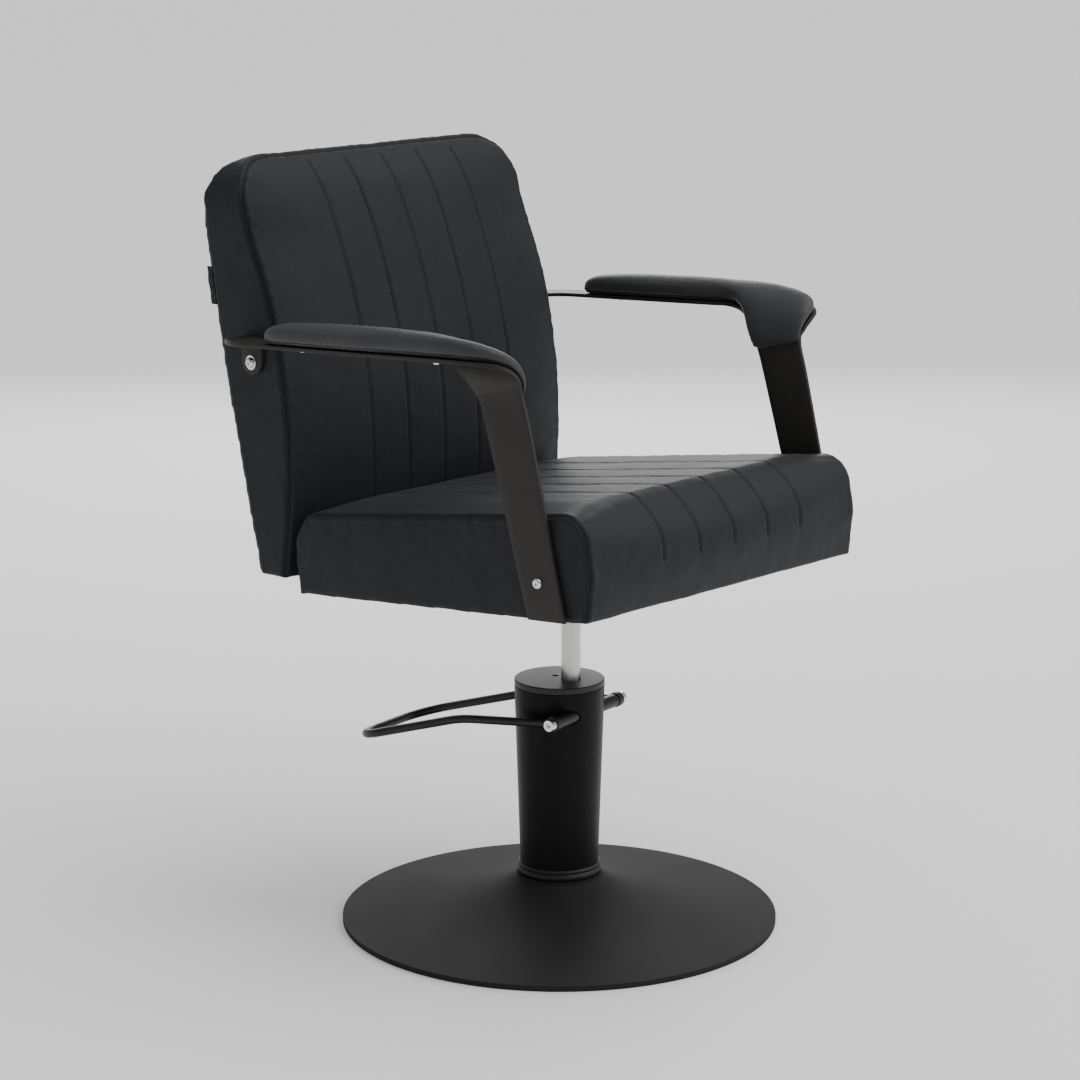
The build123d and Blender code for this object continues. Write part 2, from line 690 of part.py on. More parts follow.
def arm_strap():
    """Rail, twisted corner and leg in one bent strap, with the tab for the backrest."""
    leg = loft(list(sheet_sections(RUNGS, -STRAP / 2, STRAP / 2)), ruled=True)
    start = (RAIL_START - STRAP / 2 * math.sin(RAIL_ANGLE)) / math.cos(RAIL_ANGLE)
    plan = make_face([
        Line((RAIL_INNER, start), (RAIL_INNER, 262)),
        Spline((RAIL_INNER, 262), (278, 287), (TAB_X - STRAP / 2, 300)),
        Line((TAB_X - STRAP / 2, 300), (TAB_X - STRAP / 2, 337)),
        Line((TAB_X - STRAP / 2, 337), (290, 337)),
        Spline((290, 337), (309, 322), (RAIL_OUTER, 288)),
        Line((RAIL_OUTER, 288), (RAIL_OUTER, start)),
        Line((RAIL_OUTER, start), (RAIL_INNER, start)),
    ])
    rail = Pos(0, 0, RAIL_Z) * Rot(-math.degrees(RAIL_ANGLE), 0, 0) * extrude(plan, STRAP)
    hole_y, hole_z = TAB_BOLT
    tab = side_face([(299, 733), (299, 781), (337, 779), (337, 733)], [18, 0, 0, 18])
    tab = Pos(TAB_X, 0, 0) * across(tab, STRAP / 2)
    tab -= cross_rod(4.0, 250, 280, hole_y, hole_z)
    strap = rail + leg + tab
    for y, _ in PAD_SCREWS:
        strap -= disc(2.0, 700, 900, PAD_SCREW_X, y)
    screw_y, screw_z = LEG_SCREW
    return strap - cross_rod(4.0, 250, 290, screw_y, screw_z)


PAD_SCREW_X = 303.0
# Y of each pad screw, and how far its head hangs below the rail's line.
PAD_SCREWS = ((180.0, 0.5), (-55.0, 1.9))


def pad_rungs():
    """The pad starts at a narrow rear tip, fills the rail, and ends on the leg's inner face."""
    tip = [(241, 13.0), (236, 5.5), (222, 0.5), (195, -1.5), (120, -2.5), (60, -2.5)]
    straight = [
        ((RAIL_INNER + cut, y, rail_mid(y)), (RAIL_OUTER - cut, y, rail_mid(y))) for y, cut in tip
    ]
    return straight + RUNGS[:8]


def arm_pad():
    heights = [11, 19, 24, 27, 28, 28, 27, 25, 23, 21, 19, 16, 12, 6]
    roofs = [STRAP / 2 + h for h in heights]
    pad = loft(list(sheet_sections(pad_rungs(), STRAP / 2 + 0.1, roofs, trim=5.0)), ruled=True)
    for screw in right_pad_screws():
        pad -= screw
    return pad


def right_pad_screws():
    for y, drop in PAD_SCREWS:
        low = RAIL_Z - RAIL_SLOPE * y - drop
        yield disc(4.2, low - 2.4, low, PAD_SCREW_X, y) + disc(2.0, low, low + 15, PAD_SCREW_X, y)


def both_sides(solids):
    for solid in solids:
        yield solid
        yield mirror(solid, about=Plane.YZ)


def leg_spacers():
    y, z = LEG_SCREW
    ring = cross_rod(10.0, SEAT_HALF, LEG_X - STRAP / 2, y, z)
    return both_sides([ring - cross_rod(4.0, 250, 290, y, z)])


def button_screw(x, length, y, z):
    """A socket button-head screw whose head sits outside x."""
    head = cross_rod(7.0, x, x + 4.4, y, z)
    head = fillet(head.edges().group_by(Axis.X)[-1], 3.4)
    head -= Pos(x + 2.2, y, z) * Rot(0, 90, 0) * extrude(RegularPolygon(2.9, 6), 6)
    return head + cross_rod(4.0, x - length, x, y, z)


def leg_screws():
    return both_sides([button_screw(LEG_X + STRAP / 2, 38, *LEG_SCREW)])


def back_washers():
    y, z = TAB_BOLT
    x = TAB_X + STRAP / 2
    ring = cross_rod(9.5, x, x + 1.6, y, z) - cross_rod(4.0, 250, 290, y, z)
    return both_sides([ring])


def back_bolts():
    return both_sides([button_screw(TAB_X + STRAP / 2 + 1.6, 45, *TAB_BOLT)])


# ---- write every sub-part ----
save_base("base_plate", base_plate())
save_base("base_cover", base_cover())
save_base("column_ring", column_ring())
save_base("column_cover", column_cover())
save_base("column_cap", column_cap())
save_base("cap_screw", cap_screw())
save_base("pump_flange", pump_flange())
save_base("pump_bolts", *pump_bolts())
save_base("pump_tank", pump_tank())
save_base("pump_cylinder", pump_cylinder())
save_base("pump_head", pump_head())
save_base("rod_bush", rod_bush())
save_base("rod_seal", rod_seal())
save_base("shaft_bushes", *shaft_bushes())
save_base("plunger_barrel", plunger_barrel())
save_base("plunger_spring", plunger_spring())
save_base("pump_plunger", pump_plunger())

save_base("piston_head", piston_head())
save_base("piston_seals", *piston_seals())
save_base("thrust_washer", thrust_washer())

save_base("cross_shaft", cross_shaft())
save_base("shaft_sleeves", *shaft_sleeves())
save_base("rocker_cam", rocker_cam())
save_base("lever_loop", lever_loop())
save_base("lever_washers", *lever_washers())
save_base("lever_screws", *lever_screws())

save_seat("piston_rod", piston_rod())
save_seat("seat_hub", seat_hub())
save_seat("mount_plate", mount_plate())
save_seat("plate_bolts", *plate_bolts())
save_seat("tee_nuts", *tee_nuts())
for name, solid in seat_parts().items():
    save_seat(name, solid)
save_seat("seat_blocks", *seat_blocks())
save_seat("dust_cover", dust_cover())

for name, solid in back_parts().items():
    save_seat(name, solid)
save_seat("back_side_blocks", *back_side_blocks())
save_seat("back_brackets", *back_brackets())
save_seat("bracket_screws", *bracket_screws())
save_seat("back_label", back_label())

strap, pad = arm_strap(), arm_pad()
save_seat("arm_strap_left", strap)
save_seat("arm_strap_right", mirror(strap, about=Plane.YZ))
save_seat("arm_pad_left", pad)
save_seat("arm_pad_right", mirror(pad, about=Plane.YZ))
save_seat("arm_pad_screws", *both_sides(right_pad_screws()))
save_seat("leg_spacers", *leg_spacers())
save_seat("leg_screws", *leg_screws())
save_seat("back_washers", *back_washers())
save_seat("back_bolts", *back_bolts())
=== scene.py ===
import json
import math

import bmesh
import bpy
import numpy as np
from mathutils import Matrix, Vector, noise
from mathutils.bvhtree import BVHTree
from mathutils.kdtree import KDTree


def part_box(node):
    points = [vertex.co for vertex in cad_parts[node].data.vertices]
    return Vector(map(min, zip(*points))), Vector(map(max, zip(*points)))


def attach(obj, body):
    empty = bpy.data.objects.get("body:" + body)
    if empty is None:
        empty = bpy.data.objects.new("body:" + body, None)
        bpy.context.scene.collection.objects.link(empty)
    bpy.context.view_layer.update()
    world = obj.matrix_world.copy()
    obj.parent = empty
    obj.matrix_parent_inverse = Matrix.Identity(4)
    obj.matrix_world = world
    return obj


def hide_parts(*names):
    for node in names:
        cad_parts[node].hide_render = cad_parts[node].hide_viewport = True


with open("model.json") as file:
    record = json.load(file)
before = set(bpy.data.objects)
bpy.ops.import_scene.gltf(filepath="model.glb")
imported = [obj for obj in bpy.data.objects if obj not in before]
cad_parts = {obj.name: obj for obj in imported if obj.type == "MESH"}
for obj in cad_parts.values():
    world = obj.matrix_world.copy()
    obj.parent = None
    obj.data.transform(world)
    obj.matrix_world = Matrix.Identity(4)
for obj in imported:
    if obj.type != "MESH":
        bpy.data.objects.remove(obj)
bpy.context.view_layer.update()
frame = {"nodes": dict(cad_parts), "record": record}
nodes = frame["nodes"]
scene = bpy.context.scene

# Everything above the ram is drawn about the ram's axis, which stands ahead of the base's centre.
rodLow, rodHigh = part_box("piston_rod")
ramX = (rodLow.x + rodHigh.x) / 2
ramY = (rodLow.y + rodHigh.y) / 2
ramAxis = Vector((ramX, ramY, 0))


class Wire:
    # One shader output, so that sums on it read as sums.
    def __init__(self, graph, socket):
        self.graph = graph
        self.socket = socket

    def sum(self, operation, first, second):
        return self.graph.add("ShaderNodeMath", {"operation": operation}, {0: first, 1: second})

    def __add__(self, other):
        return self.sum("ADD", self, other)

    def __radd__(self, other):
        return self.sum("ADD", other, self)

    def __sub__(self, other):
        return self.sum("SUBTRACT", self, other)

    def __rsub__(self, other):
        return self.sum("SUBTRACT", other, self)

    def __mul__(self, other):
        return self.sum("MULTIPLY", self, other)

    def __rmul__(self, other):
        return self.sum("MULTIPLY", other, self)


class Finish:
    # A material whose nodes are added by type, settings first and then inputs.
    def __init__(self, name, **shader):
        self.material = bpy.data.materials.new(name)
        self.material.use_nodes = True
        self.tree = self.material.node_tree
        self.shader = self.tree.nodes["Principled BSDF"]
        for key, value in shader.items():
            self.feed(self.shader.inputs[key.replace("_", " ")], value)

    def feed(self, socket, value):
        if isinstance(value, Wire):
            self.tree.links.new(value.socket, socket)
        else:
            socket.default_value = value

    def add(self, kind, settings=None, inputs=None, output=0):
        node = self.tree.nodes.new(kind)
        for key, value in (settings or {}).items():
            setattr(node, key, value)
        for key, value in (inputs or {}).items():
            self.feed(node.inputs[key], value)
        return Wire(self, node.outputs[output])

    def place(self, stretch=(1, 1, 1)):
        where = self.add("ShaderNodeTexCoord", output="Object")
        return self.add("ShaderNodeMapping", {}, {"Vector": where, "Scale": stretch})

    def noise(self, scale, detail=3.0, stretch=(1, 1, 1), roughness=0.5):
        sizes = {"Vector": self.place(stretch), "Scale": scale, "Detail": detail, "Roughness": roughness}
        return self.add("ShaderNodeTexNoise", {}, sizes)

    def cells(self, scale):
        sizes = {"Vector": self.place(), "Scale": scale, "Smoothness": 0.6}
        return self.add("ShaderNodeTexVoronoi", {"feature": "SMOOTH_F1"}, sizes)

    def mixed(self, share, dark, light):
        node = self.tree.nodes.new("ShaderNodeMix")
        node.data_type = "RGBA"
        for key, value in (("Factor", share), ("A", dark), ("B", light)):
            shade = (*value, 1) if isinstance(value, tuple) else value
            self.feed(next(s for s in node.inputs if s.name == key and s.enabled), shade)
        return Wire(self, next(s for s in node.outputs if s.enabled))

    def bumped(self, height, distance, strength, under=None):
        inputs = {"Height": height, "Distance": distance, "Strength": strength}
        if under:
            inputs["Normal"] = under
        return self.add("ShaderNodeBump", {}, inputs)

    def colour(self, value):
        self.feed(self.shader.inputs["Base Color"], value)

    def rough(self, value):
        self.feed(self.shader.inputs["Roughness"], value)

    def relief(self, value):
        self.feed(self.shader.inputs["Normal"], value)


def shaded(tone, share):
    return tuple(c * share for c in tone)


def leatherette(name, tone, gloss, grain, shine):
    # Coated cloth: a fine pebble, soft wrinkles under it, and painted shade that darkens the grooves by the
    # seams, where it is also duller.
    look = {"pebble": 620.0, "wrinkle": 38.0, "wear": 9.0}
    skin = Finish(name, IOR=1.46, Specular_IOR_Level=shine, Sheen_Weight=0.03)
    seam_shade = skin.add("ShaderNodeAttribute", {"attribute_name": "seam_shade"}, output="Fac")
    cloud = skin.noise(look["wear"], 4.0)
    fine = skin.noise(look["pebble"] * 2.1, 2.0)
    body = skin.mixed(cloud, shaded(tone, 0.82), shaded(tone, 1.35))
    # Painted shade: along the seam and channel grooves the colour darkens to about a third of its tone.
    skin.colour(skin.mixed(seam_shade, body, shaded(tone, 0.35)))
    skin.rough(gloss + 0.1 * cloud + 0.08 * fine + 0.2 * seam_shade - 0.09)
    folds = skin.bumped(skin.noise(look["wrinkle"], 5.0, roughness=0.55), 0.0010, 0.22)
    pebble = skin.bumped(skin.cells(look["pebble"]) + 0.35 * fine, grain, 0.8, folds)
    skin.relief(pebble)
    return skin.material


def powderCoat(name, tone, gloss, specks=1500.0, depth=0.00008, shine=0.35):
    # Baked powder paint: an even fine orange peel, with faint handling marks.
    coat = Finish(name, IOR=1.5, Specular_IOR_Level=shine)
    cloud = coat.noise(14.0, 5.0)
    peel = coat.noise(specks, 2.0)
    coat.colour(coat.mixed(cloud, shaded(tone, 0.85), shaded(tone, 1.2)))
    coat.rough(gloss + 0.1 * cloud + 0.07 * peel - 0.08)
    coat.relief(coat.bumped(peel, depth, 0.7))
    return coat.material


def brushedMetal(name, tone, gloss, stretch, lines=900.0):
    # Bright metal with fine lines drawn out along one direction, or even where the stretch is even.
    metal = Finish(name, Metallic=1.0)
    streak = metal.noise(lines, 3.0, stretch)
    smudge = metal.noise(30.0, 4.0)
    metal.colour(metal.mixed(streak, shaded(tone, 0.8), tone))
    metal.rough(gloss + 0.14 * streak + 0.08 * smudge - 0.08)
    metal.relief(metal.bumped(streak, 0.00003, 0.5))
    return metal.material


def castMetal(name, tone):
    metal = Finish(name, Metallic=0.85)
    grit = metal.noise(420.0, 6.0)
    metal.colour(metal.mixed(grit, shaded(tone, 0.6), tone))
    metal.rough(0.5 + 0.2 * grit)
    metal.relief(metal.bumped(grit, 0.0003, 0.6))
    return metal.material


def plyWood(name):
    # Thin layers across Z with a slow grain along them.
    wood = Finish(name)
    layer = wood.add("ShaderNodeTexWave", {"bands_direction": "Z"},
                     {"Vector": wood.place(), "Scale": 160.0, "Distortion": 1.5, "Detail": 2.0})
    grain = wood.noise(40.0, 6.0, (0.2, 3, 3))
    wood.colour(wood.mixed(layer * 0.6 + grain * 0.4, (0.3, 0.19, 0.1), (0.62, 0.47, 0.3)))
    wood.rough(0.6 + 0.2 * grain)
    wood.relief(wood.bumped(grain, 0.0003, 0.5))
    return wood.material


def openFoam(name):
    foam = Finish(name)
    pores = foam.cells(700.0)
    foam.colour(foam.mixed(pores, (0.42, 0.37, 0.24), (0.8, 0.75, 0.58)))
    foam.rough(0.85 + 0.1 * pores)
    foam.relief(foam.bumped(pores, 0.0006, 0.8))
    return foam.material


def wovenCloth(name, tone, threads):
    # Two sets of threads that cross.
    cloth = Finish(name)
    across, along = (
        cloth.add("ShaderNodeTexWave", {"bands_direction": way},
                  {"Vector": cloth.place(), "Scale": threads, "Distortion": 1.0})
        for way in ("X", "Z"))
    fuzz = cloth.noise(900.0, 4.0)
    weave = across * along + 0.4 * fuzz
    cloth.colour(cloth.mixed(weave, shaded(tone, 0.5), shaded(tone, 1.7)))
    cloth.rough(0.8 + 0.15 * fuzz)
    cloth.relief(cloth.bumped(weave, 0.0003, 0.8))
    return cloth.material


hide = leatherette("seatHide", (0.0140, 0.0150, 0.0175), 0.50, 0.00022, 0.15)
# Painted light: the arm pads take the seat's leatherette at a lighter tone, standing in for the light that
# falls on their tops.
armHide = leatherette("armHide", (0.0350, 0.0360, 0.0385), 0.46, 0.00016, 0.32)
finishes = {
    "base_paint": powderCoat("baseCoat", (0.021, 0.021, 0.022), 0.62, shine=0.07),
    "column_paint": powderCoat("columnCoat", (0.0050, 0.0045, 0.0047), 0.4, 1100.0, shine=0.12),
    "arm_paint": powderCoat("armCoat", (0.022, 0.0200, 0.0190), 0.42, 1700.0, shine=0.22),
    "lever_paint": powderCoat("leverCoat", (0.009, 0.009, 0.009), 0.36, 1300.0),
    "cap_plastic": powderCoat("capPlastic", (0.016, 0.016, 0.0165), 0.45, 900.0, 0.00012),
    "ring_rubber": powderCoat("ringRubber", (0.012, 0.012, 0.0125), 0.5, 700.0, 0.00012),
    "seal_rubber": powderCoat("sealRubber", (0.01, 0.01, 0.01), 0.45, 900.0),
    "dark_screw": powderCoat("screwBlack", (0.008, 0.008, 0.008), 0.35, 2000.0),
    "raw_steel": brushedMetal("zincSteel", (0.52, 0.52, 0.53), 0.36, (1, 1, 1), 260.0),
    "rod_steel": brushedMetal("ramSteel", (0.62, 0.61, 0.6), 0.27, (1, 1, 0.04)),
    "chrome": brushedMetal("chromePlate", (0.82, 0.82, 0.83), 0.13, (1, 1, 1), 180.0),
    "cast_iron": castMetal("castIron", (0.2, 0.2, 0.2)),
    "brass": brushedMetal("bushBrass", (0.75, 0.55, 0.25), 0.3, (1, 1, 1), 300.0),
    "aluminium": brushedMetal("pistonAluminium", (0.75, 0.76, 0.78), 0.32, (1, 1, 0.2), 300.0),
    "plywood": plyWood("plyBoard"),
    "foam": openFoam("seatFoam"),
    "upholstery": hide,
    "pad_cover": armHide,
    "dust_cloth": wovenCloth("dustCloth", (0.012, 0.012, 0.012), 90.0),
    "tag_cloth": wovenCloth("tagCloth", (0.014, 0.014, 0.015), 380.0),
}
thread = Finish("sewingThread")
twist = thread.noise(1600.0, 2.0)
thread.colour(thread.mixed(twist, (0.010, 0.010, 0.011), (0.028, 0.028, 0.031)))
thread.rough(0.55 + 0.2 * twist)

for part in frame["record"]["subparts"]:
    mesh = nodes[part["node"]].data
    mesh.materials.clear()
    mesh.materials.append(finishes[part["material_slot"]])
print("finishes ready")


def makePiece(name, verts, faces, material):
    # A smooth-shaded mesh with shared corners merged and its faces turned outward.
    mesh = bpy.data.meshes.new(name)
    mesh.from_pydata([tuple(v) for v in verts], [], faces)
    piece = bpy.data.objects.new(name, mesh)
    scene.collection.objects.link(piece)
    form = bmesh.new()
    form.from_mesh(mesh)
    bmesh.ops.remove_doubles(form, verts=form.verts, dist=1e-6)
    bmesh.ops.recalc_face_normals(form, faces=form.faces)
    form.to_mesh(mesh)
    form.free()
    mesh.shade_smooth()
    mesh.materials.append(material)
    return piece


def loftRings(name, rings, material):
    # Closed rings of equal count, joined in order, with both ends capped.
    count = len(rings[0])
    verts = [p for ring in rings for p in ring]
    faces = []
    for i in range(len(rings) - 1):
        for j in range(count):
            k = (j + 1) % count
            faces.append((i * count + j, i * count + k, (i + 1) * count + k, (i + 1) * count + j))
    faces.append(tuple(range(count)))
    faces.append(tuple(reversed(range((len(rings) - 1) * count, len(rings) * count))))
    return makePiece(name, verts, faces, material)


def finishWith(piece, kind, **settings):
    # Adds a modifier, then makes its result the piece's own mesh.
    modifier = piece.modifiers.new(kind.lower(), kind)
    for key, value in settings.items():
        setattr(modifier, key, value)
    bpy.context.view_layer.update()
    grown = bpy.data.meshes.new_from_object(piece.evaluated_get(bpy.context.evaluated_depsgraph_get()))
    piece.modifiers.clear()
    piece.data = grown
    return piece


def readPoints(piece):
    points = np.empty(len(piece.data.vertices) * 3)
    piece.data.vertices.foreach_get("co", points)
    return points.reshape(-1, 3)


def readNormals(piece):
    normals = np.empty(len(piece.data.vertices) * 3)
    piece.data.vertex_normals.foreach_get("vector", normals)
    return normals.reshape(-1, 3)


def writePoints(piece, points):
    piece.data.vertices.foreach_set("co", points.ravel())
    piece.data.update()


def remesh(piece, size):
    return finishWith(piece, "REMESH", mode="VOXEL", voxel_size=size, use_smooth_shade=True)


def puffUp(piece, held, settings):
    # The cover swells under a light pressure while its sewn edges are held.
    rest = readPoints(piece)
    group = piece.vertex_groups.new(name="held")
    for i in np.nonzero(held)[0]:
        group.add([int(i)], 1.0, "REPLACE")
    cloth = piece.modifiers.new("cloth", "CLOTH")
    cloth.settings.quality = 6
    cloth.settings.mass = 0.35
    cloth.settings.tension_stiffness = settings["stretch"]
    cloth.settings.compression_stiffness = settings["stretch"]
    cloth.settings.shear_stiffness = settings["stretch"] * 0.4
    cloth.settings.bending_stiffness = settings["bend"]
    cloth.settings.use_pressure = True
    cloth.settings.uniform_pressure_force = settings["pressure"]
    cloth.settings.vertex_group_mass = "held"
    cloth.settings.effector_weights.gravity = 0
    cloth.collision_settings.use_collision = False
    for step in range(1, settings["steps"] + 1):
        scene.frame_set(step)
    puffed = bpy.data.meshes.new_from_object(piece.evaluated_get(bpy.context.evaluated_depsgraph_get()))
    piece.modifiers.clear()
    moved = np.empty(len(puffed.vertices) * 3)
    puffed.vertices.foreach_get("co", moved)
    moved = moved.reshape(-1, 3) - rest
    length = np.linalg.norm(moved, axis=1, keepdims=True)
    writePoints(piece, rest + moved * np.minimum(1.0, settings["cap"] / np.maximum(length, 1e-9)))
    piece.vertex_groups.clear()
    scene.frame_set(1)
    bpy.data.meshes.remove(puffed)
    print(piece.name, "puffed by up to", round(float(length.max()) * 1000, 1), "mm")


def pressSides(piece, widest):
    # The side panels are kept flat by what is bolted against them.
    points = readPoints(piece)
    points[:, 0] = np.clip(points[:, 0], ramX - widest, ramX + widest)
    writePoints(piece, points)


lineStep = 0.0015


def pathPoints(corners, spacing=lineStep):
    # Evenly spaced points along straight runs between the given corners.
    points = []
    for a, b in zip(corners, corners[1:]):
        run = np.linalg.norm(np.subtract(b, a))
        for share in np.linspace(0, 1, max(2, int(run / spacing)), endpoint=False):
            points.append(np.add(np.multiply(a, 1 - share), np.multiply(b, share)))
    points.append(np.array(corners[-1], float))
    return np.array(points)


def surfaceTree(piece):
    form = bmesh.new()
    form.from_mesh(piece.data)
    tree = BVHTree.FromBMesh(form)
    form.free()
    return tree


def sewLine(tree, points):
    # Drops a line of points on to the cover.
    return np.array([tree.find_nearest(Vector(p))[0] for p in points])


def nearest(points, line, reach):
    # Distance to a sewn line and the place along it, far points left at the reach.
    finder = KDTree(len(line))
    for i, p in enumerate(line):
        finder.insert(Vector(p), i)
    finder.balance()
    gap = np.full(len(points), reach)
    place = np.zeros(len(points))
    low, high = line.min(0) - reach, line.max(0) + reach
    near = np.nonzero(((points > low) & (points < high)).all(1))[0]
    for i in near:
        _, index, distance = finder.find(Vector(points[i]))
        if distance < reach:
            gap[i] = distance
            place[i] = index
    return gap, place


def sew(piece, lines):
    # Pulls the cover down into a groove along each line, with small puckers running off it.
    points, normals = readPoints(piece), readNormals(piece)
    seam_shade = np.zeros(len(points))
    sink = np.zeros(len(points))
    for line, look in lines:
        gap, place = nearest(points, line, look["reach"])
        groove = np.exp(-(gap / look["width"]) ** 2)
        phase = place * lineStep / look["pucker"] * 2 * math.pi
        ripple = np.sin(phase + 1.7 * np.sin(phase * 0.37)) * np.exp(-gap / (look["reach"] * 0.35))
        ripple *= gap < look["reach"]
        lip = np.exp(-((gap - look["width"] * 2.3) / (look["width"] * 1.4)) ** 2) * (gap < look["reach"])
        sink = sink + look["depth"] * groove - look["lip"] * lip + look["ripple"] * ripple * (1 - groove)
        # Painted shade mask: strongest on each sewn line, kept on the cover so its colour darkens in the
        # groove.
        seam_shade = np.maximum(seam_shade, np.exp(-(gap / (look["width"] * 0.75)) ** 2))
    writePoints(piece, points - normals * sink[:, None])
    mark = piece.data.attributes.get("seam_shade") or piece.data.attributes.new("seam_shade", "FLOAT", "POINT")
    mark.data.foreach_set("value", seam_shade)


def wrinkle(piece, size, height, seed):
    # Broad, shallow unevenness over the whole cover.
    points, normals = readPoints(piece), readNormals(piece)
    shift = Vector((seed * 3.1, seed * 1.7, seed * 0.9))
    lift = np.array([noise.fractal(Vector(p) / size + shift, 0.6, 2.1, 3) for p in points])
    writePoints(piece, points + normals * (lift * height)[:, None])


def stitchTree(material):
    # Short threads laid end to end along a line, each with a little random lean.
    tree = bpy.data.node_groups.new("stitchRow", "GeometryNodeTree")
    for way in ("INPUT", "OUTPUT"):
        tree.interface.new_socket("Geometry", in_out=way, socket_type="NodeSocketGeometry")
    for name, value in (("Spacing", 0.0042), ("Length", 0.0031), ("Thickness", 0.0005)):
        tree.interface.new_socket(name, in_out="INPUT", socket_type="NodeSocketFloat").default_value = value

    def add(kind, settings=None, **inputs):
        node = tree.nodes.new(kind)
        for key, value in (settings or {}).items():
            setattr(node, key, value)
        for key, value in inputs.items():
            socket = node.inputs[key.replace("_", " ")]
            if isinstance(value, bpy.types.NodeSocket):
                tree.links.new(value, socket)
            else:
                socket.default_value = value
        return node

    start = add("NodeGroupInput").outputs
    line = add("GeometryNodeMeshToCurve", Mesh=start["Geometry"])
    dots = add("GeometryNodeCurveToPoints", {"mode": "LENGTH"}, Curve=line.outputs[0], Length=start["Spacing"])
    lean = add("FunctionNodeRandomValue", {"data_type": "FLOAT"}, Seed=7)
    lean.inputs[2].default_value, lean.inputs[3].default_value = -0.12, 0.12
    along = add("FunctionNodeAlignEulerToVector", {"axis": "X"}, Vector=dots.outputs["Tangent"])
    spin = add("ShaderNodeCombineXYZ", Z=lean.outputs[1])
    turned = add("FunctionNodeRotateEuler", {"space": "LOCAL"},
                 Rotation=along.outputs[0], Rotate_By=spin.outputs[0])
    bead = add("GeometryNodeMeshUVSphere", Segments=6, Rings=4, Radius=1.0)
    half = add("ShaderNodeMath", {"operation": "MULTIPLY"})
    tree.links.new(start["Length"], half.inputs[0])
    half.inputs[1].default_value = 0.5
    size = add("ShaderNodeCombineXYZ", X=half.outputs[0], Y=start["Thickness"], Z=start["Thickness"])
    rows = add("GeometryNodeInstanceOnPoints", Points=dots.outputs["Points"], Instance=bead.outputs[0],
               Rotation=turned.outputs[0], Scale=size.outputs[0])
    real = add("GeometryNodeRealizeInstances", Geometry=rows.outputs[0])
    coated = add("GeometryNodeSetMaterial", Geometry=real.outputs[0], Material=material)
    tree.links.new(coated.outputs[0], add("NodeGroupOutput").inputs[0])
    return tree


rowOfStitches = stitchTree(thread.material)


def stitches(name, lines, spacing=0.0042, length=0.0031):
    # Threads along every line, made one plain mesh.
    mesh = bpy.data.meshes.new(name)
    verts, edges = [], []
    for line in lines:
        first = len(verts)
        verts.extend(tuple(p) for p in line[::2])
        edges.extend((i, i + 1) for i in range(first, len(verts) - 1))
    mesh.from_pydata(verts, edges, [])
    piece = bpy.data.objects.new(name, mesh)
    scene.collection.objects.link(piece)
    rows = piece.modifiers.new("rows", "NODES")
    rows.node_group = rowOfStitches
    wanted = {"Spacing": spacing, "Length": length}
    for item in rowOfStitches.interface.items_tree:
        if item.item_type == "SOCKET" and item.in_out == "INPUT" and item.name in wanted:
            rows[item.identifier] = wanted[item.name]
    bpy.context.view_layer.update()
    real = bpy.data.meshes.new_from_object(piece.evaluated_get(bpy.context.evaluated_depsgraph_get()))
    piece.modifiers.clear()
    piece.data = real
    real.shade_smooth()
    return piece


sewnSeam = {"reach": 0.030, "width": 0.0026, "depth": 0.0026, "lip": 0.0005, "ripple": 0.0005, "pucker": 0.027}
sewnChannel = {"reach": 0.020, "width": 0.0021, "depth": 0.0015, "lip": 0.0003, "ripple": 0.0002,
               "pucker": 0.021}
padSeam = {"reach": 0.012, "width": 0.0017, "depth": 0.0013, "lip": 0.0004, "ripple": 0.0003, "pucker": 0.011}

# Heights and depths are measured on the seat before it tilts, from its underside and the ram's axis.
seat = {
    "tilt": 5.0, "underside": 0.473, "half": 0.2606, "widest": 0.2630, "voxel": 0.0052,
    "heldFoot": 0.009, "heldSide": 0.0035, "heldEdge": 0.0045, "seamInset": 0.0015,
    "seamStart": (-0.2612, 0.006), "seamEnd": (0.2448, 0.006), "channelEnd": (0.205, 0.1066),
    "channels": [0.006 + 0.0665 * i for i in (-2, -1, 0, 1, 2)],
    "profile": [(-0.2602, 0), (-0.2725, 0.060), (-0.266, 0.1345),
                (0.221, 0.1075), (0.2462, 0.072), (0.2445, 0)],
    "rounding": [0.003, 0.0, 0.036, 0.024, 0.022, 0.003],
    "cloth": {"pressure": 4.0, "stretch": 12.0, "bend": 0.8, "steps": 20, "cap": 0.007},
}
tiltTurn = Matrix.Translation(ramAxis + Vector((0, 0, seat["underside"]))) @ Matrix.Rotation(
    -math.radians(seat["tilt"]), 4, "X")


def roundedOutline(corners, radii, step=0.004):
    # The outline's straight runs, with an arc of the given radius at each corner.
    outline = []
    count = len(corners)
    for i, radius in enumerate(radii):
        corner = Vector(corners[i])
        before = (Vector(corners[i - 1]) - corner).normalized()
        after = (Vector(corners[(i + 1) % count]) - corner).normalized()
        if radius <= 0:
            outline.append(tuple(corner))
            continue
        half = before.angle(after) / 2
        reach = radius / math.tan(half)
        centre = corner + (before + after).normalized() * radius / math.sin(half)
        a, b = corner + before * reach - centre, corner + after * reach - centre
        start = math.atan2(a.y, a.x)
        sweep = (math.atan2(b.y, b.x) - start + math.pi) % (2 * math.pi) - math.pi
        turns = max(2, int(radius * abs(sweep) / step))
        for k in range(turns + 1):
            angle = start + sweep * k / turns
            outline.append((centre.x + radius * math.cos(angle), centre.y + radius * math.sin(angle)))
    return outline


def seatPoint(x, y, height):
    return tiltTurn @ Vector((x, y, height))


